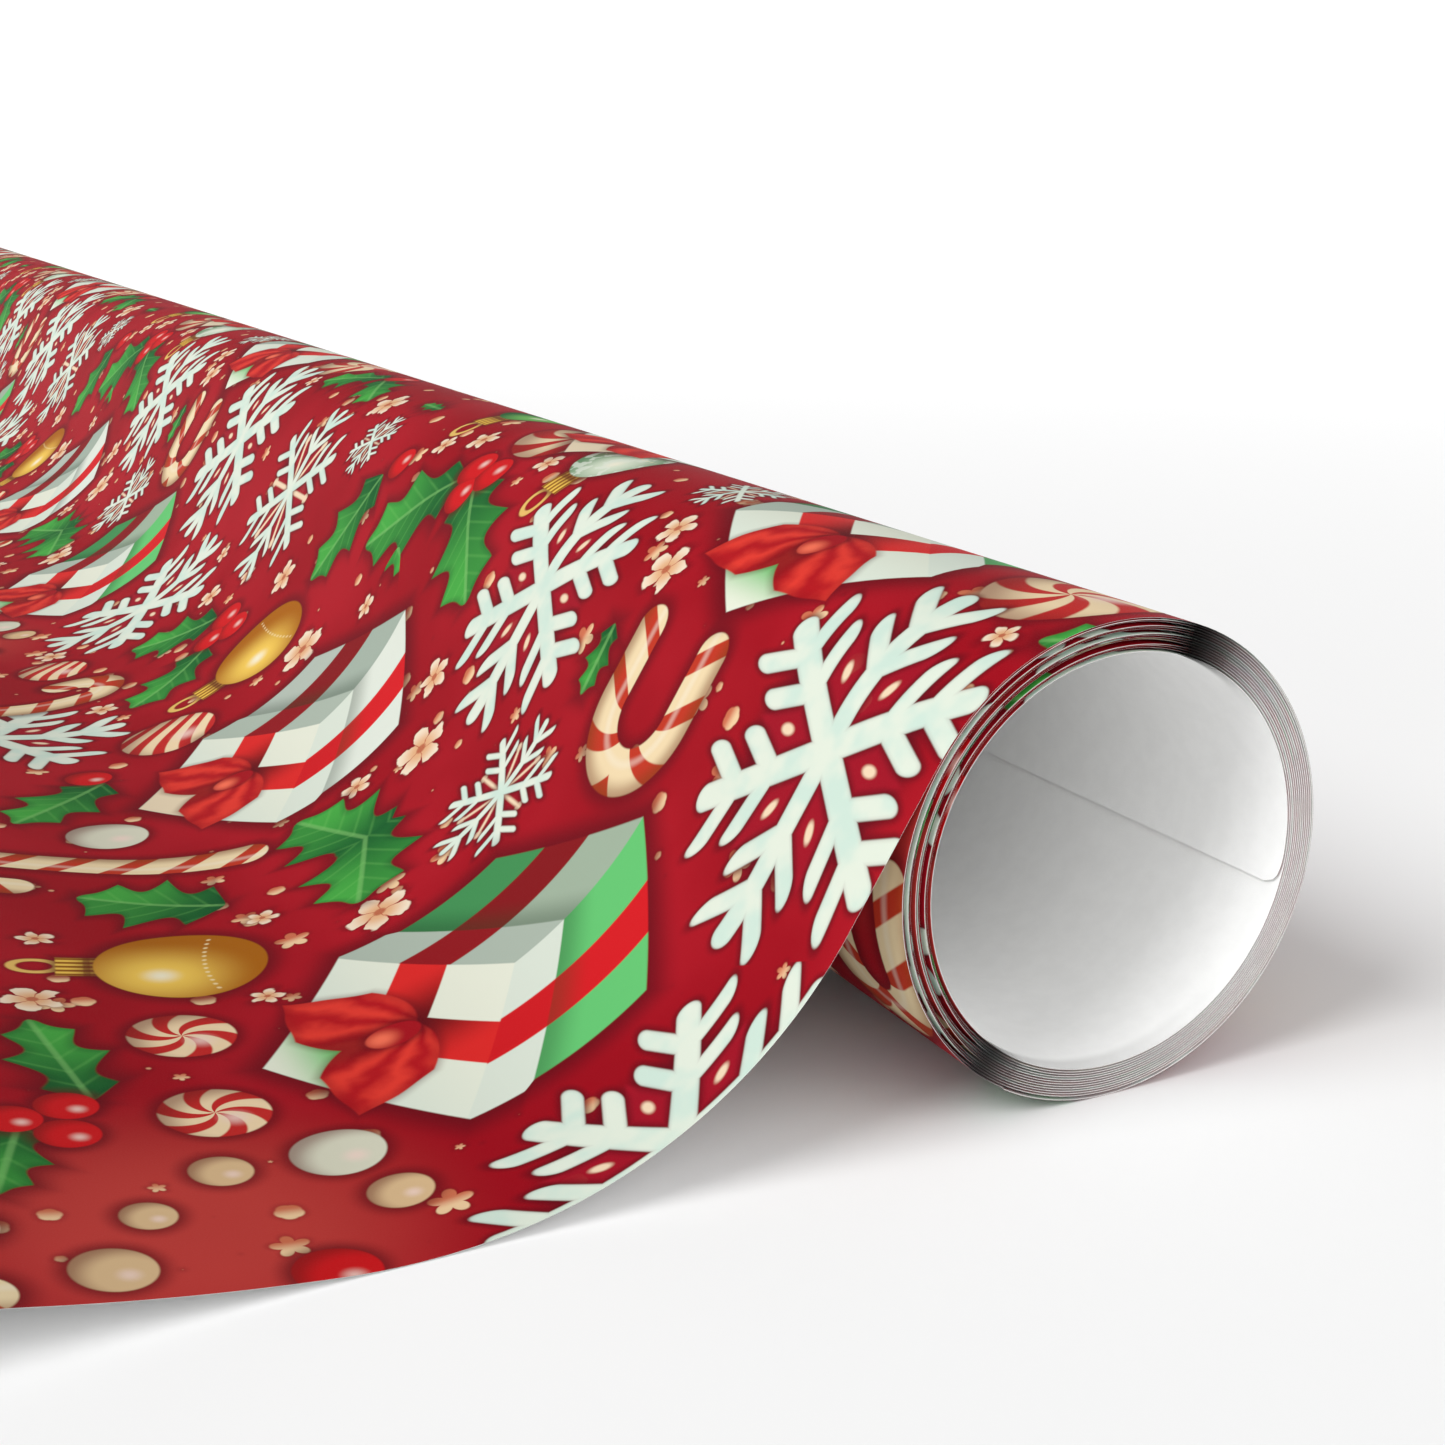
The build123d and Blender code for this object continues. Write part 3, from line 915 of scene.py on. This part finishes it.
def painted_shade_at(angle):
    """How dark the painted shade on the cut laps is at an angle round the roll, 0 to 1."""
    total = 0.0
    for dark_angle, depth, before, after in PAINTED_SHADE_PLACES:
        away = angle_between(angle, dark_angle)
        total += depth * math.exp(-(away / (before if away < 0 else after)) ** 2 * 2.0)
    under = angle_between(angle, UNDER_SHADE_ANGLE)
    return min(1.0, total + UNDER_SHADE_DEPTH * math.exp(-(under / UNDER_SHADE_REACH) ** 2))


def bunched(rows, shift, open_thinning):
    """Rows of a front half, moved outwards by shift in the middle of the half."""
    moved, thinning = [], []
    for i, (printed_point, back_point, at) in enumerate(rows):
        share = i / (len(rows) - 1)
        ease = min(1.0, max(0.0, (min(share, 1 - share) - BUNCH_START) / BUNCH_EASE))
        ease = ease * ease * (3 - 2 * ease)
        out = printed_point / np.linalg.norm(printed_point) * shift * ease
        moved.append((printed_point + out, back_point + out, at))
        thinning.append(EDGE_THINNING + (open_thinning - EDGE_THINNING) * ease)
    return moved, thinning


def back_thinning(count):
    """Shares of thickness lost along a back half: less in its middle than at its ends."""
    eases = [math.sin(math.pi * i / count) ** BACK_EASE_POWER for i in range(count + 1)]
    return [EDGE_THINNING + (BACK_EDGE_THINNING - EDGE_THINNING) * ease for ease in eases]


def painted_row_shades(rows):
    """The painted shade at each row, from its angle round the roll's axis."""
    return [painted_shade_at(math.degrees(math.atan2(row[0][1], row[0][0]))) for row in rows]


lap_start = SEAM_ANGLE - math.degrees(SEAM_GAP / OUTER_RADIUS)
outer_s = roll_start_s - math.radians(lap_start - ROLL_START) * OUTER_RADIUS
rows = arc_rows((0, 0), OUTER_RADIUS, lap_start, ROLL_START, outer_s, OUTER_COUNT)
outer = make_shell(
    "outermost_lap", rows,
    thinning=[
        OUTER_EDGE_THINNING if at < outer_s + OUTER_OPEN_LENGTH else EDGE_THINNING
        for _, _, at in rows
    ],
    painted_shades=painted_row_shades(rows),
)
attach(outer, "outer_lap")
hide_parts("outer_lap")

# The coil's laps, from the outside in. Each one's front half passes into the next lap out.
s = outer_s - SEAM_GAP
for turn in range(TURNS, 0, -1):
    body = f"turn_{turn:02d}"
    printed = BORE_RADIUS + (turn - 1) * PITCH + PAPER
    back_printed = printed - CENTRE_SHIFT
    s -= math.pi * printed
    rows = arc_rows((0, 0), printed, HALF_TURN_ANGLE, HALF_TURN_ANGLE - 180, s, HALF_COUNT)
    open_thinning = OPEN_EDGE_THINNING if turn in LEADING_LAPS else BUNCHED_THINNING
    rows, thinning = bunched(rows, shifts[turn - 1], open_thinning)
    front = make_shell(
        f"lap_{turn:02d}_front", rows, thinning=thinning, painted_shades=painted_row_shades(rows)
    )
    if turn == TURNS:
        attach(front, body)
    else:
        in_frame(polar((0, 0), printed, HALF_TURN_ANGLE))
        in_frame(polar((0, 0), printed, HALF_TURN_ANGLE - 180))
        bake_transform(front)
    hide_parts(body)
    if turn == 1:
        break
    back_start = SEAM_ANGLE - math.degrees(SEAM_GAP / printed)
    s -= math.radians(back_start - HALF_TURN_ANGLE) * back_printed
    rows = arc_rows(BACK_CENTRE, back_printed, back_start, HALF_TURN_ANGLE, s, HALF_COUNT)
    back = make_shell(
        f"lap_{turn:02d}_back", rows,
        thinning=back_thinning(HALF_COUNT), painted_shades=painted_row_shades(rows),
    )
    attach(back, body)
    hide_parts(body)

# The innermost end, which sits back a little from the mouths and has worn corners
INNER_COUNT = 56
EDGE_LIFT = 0.16  # how far its edge stands off the lap behind it
LIFT_LENGTH = 6.0  # how far from its edge it starts to lift
RECESS_LENGTH = 2.5  # and how far from its edge it starts to draw back from the mouths
BLEND_BEFORE, BLEND_AFTER = 8.0, 12.0  # two angles, before and after its hinge, where points are worked out that nothing uses

s -= math.radians(INNER_END_ANGLE - HALF_TURN_ANGLE) * back_printed
rows = arc_rows(BACK_CENTRE, BORE_RADIUS - CENTRE_SHIFT + PAPER, INNER_END_ANGLE,
                HALF_TURN_ANGLE, s, INNER_COUNT)
from_edge = [at - rows[0][2] for _, _, at in rows]
lifts = [EDGE_LIFT / BORE_RADIUS * max(0.0, 1 - d / LIFT_LENGTH) ** 2 for d in from_edge]
rows = [
    (printed_point * (1 - lift), back_point * (1 - lift), at)
    for (printed_point, back_point, at), lift in zip(rows, lifts)
]
half_widths = []
for distance in from_edge:
    recess = END_RECESS * max(0.0, 1 - distance / RECESS_LENGTH) ** 2
    corner = max(0.0, END_CORNER - distance)
    worn = END_CORNER - math.sqrt(END_CORNER ** 2 - corner ** 2)
    half_widths.append(HALF_WIDTH - recess - worn)
inner = make_shell(
    "innermost_end", rows, half_widths, thinning=[0.0] * len(rows), painted_shades=painted_row_shades(rows)
)
in_frame(polar(BACK_CENTRE, BORE_RADIUS, FLAP_HINGE_ANGLE - BLEND_BEFORE))
in_frame(polar(BACK_CENTRE, BORE_RADIUS, FLAP_HINGE_ANGLE + BLEND_AFTER))
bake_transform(inner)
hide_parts("inner_end", "turn_01")

# ---------------------------------------------------------------------------------------
# Floor and light
# ---------------------------------------------------------------------------------------
TABLE = -OUTER_RADIUS * MM
FLOOR_REACH = 30.0
MOUTH = (HALF_WIDTH * MM, 0.0, 0.0)
# Painted shade on the floor: it is greyer near the roll's mouth and clears to white farther off,
# over these distances from the mouth.
FLOOR_SHADE_NEAR, FLOOR_SHADE_FAR = 0.1, 0.9  # from the mouth, in metres
PAINTED_SHADE_WHITE = (0.85, 0.85, 0.85, 1.0)
FAR_WHITE = (0.99, 0.99, 0.99, 1.0)

corners = [(-1, -1), (1, -1), (1, 1), (-1, 1)]
floor_mesh = bpy.data.meshes.new("floor")
floor_mesh.from_pydata(
    [(x * FLOOR_REACH, y * FLOOR_REACH, TABLE) for x, y in corners], [], [(0, 1, 2, 3)]
)
floor = bpy.data.objects.new("floor", floor_mesh)
bpy.context.scene.collection.objects.link(floor)
floor_material, graph, shader = new_material("floor")
place = Term(graph, graph.node("ShaderNodeNewGeometry").outputs["Position"])
away = graph.vector("LENGTH", graph.vector("SUBTRACT", place, MOUTH))
# painted shade round the roll's mouth
white = graph.mix(graph.ramp(away, FLOOR_SHADE_NEAR, FLOOR_SHADE_FAR), PAINTED_SHADE_WHITE, FAR_WHITE)
graph.feed(shader.inputs["Base Color"], white)
shader.inputs["Roughness"].default_value = 0.9
shader.inputs["Specular IOR Level"].default_value = 0.0
floor_mesh.materials.append(floor_material)

# The studio's walls are white at eye level and dimmer overhead, with a large bright screen
# that faces the mouth of the roll. Heights are those of a direction's unit vector.
WALL_LIGHT, CEILING_LIGHT, SCREEN_LIGHT = 1.26, 0.31, 1.5

world = bpy.data.worlds.new("studio")
bpy.context.scene.world = world
world.use_nodes = True
sky = Graph(world)
ray = sky.node("ShaderNodeTexCoord")
toward_mouth, _, height = sky.parts(Term(sky, ray.outputs["Generated"]))
background = world.node_tree.nodes["Background"]
background.inputs["Color"].default_value = (1, 1, 1, 1)
walls = sky.ramp(height, 0.1, 0.42, WALL_LIGHT, CEILING_LIGHT)
screen = sky.ramp(toward_mouth, 0.1, 0.8, 0.0, SCREEN_LIGHT) * sky.ramp(height, -0.05, 0.1)
sky.feed(background.inputs["Strength"], walls + screen)

KEY_ENERGY = 2.95
KEY_ANGLE = 34.0  # how wide the light is, which softens its shadows
KEY_FROM = Vector((0.06, -0.76, 0.65))
EXPOSURE = -0.28

sun_data = bpy.data.lights.new("key", "SUN")
sun_data.energy = KEY_ENERGY
sun_data.angle = math.radians(KEY_ANGLE)
sun = bpy.data.objects.new("key", sun_data)
sun.rotation_mode = "QUATERNION"
sun.rotation_quaternion = KEY_FROM.to_track_quat("Z", "Y")
bpy.context.scene.collection.objects.link(sun)

bpy.context.scene.view_settings.view_transform = "Standard"
bpy.context.scene.view_settings.exposure = EXPOSURE
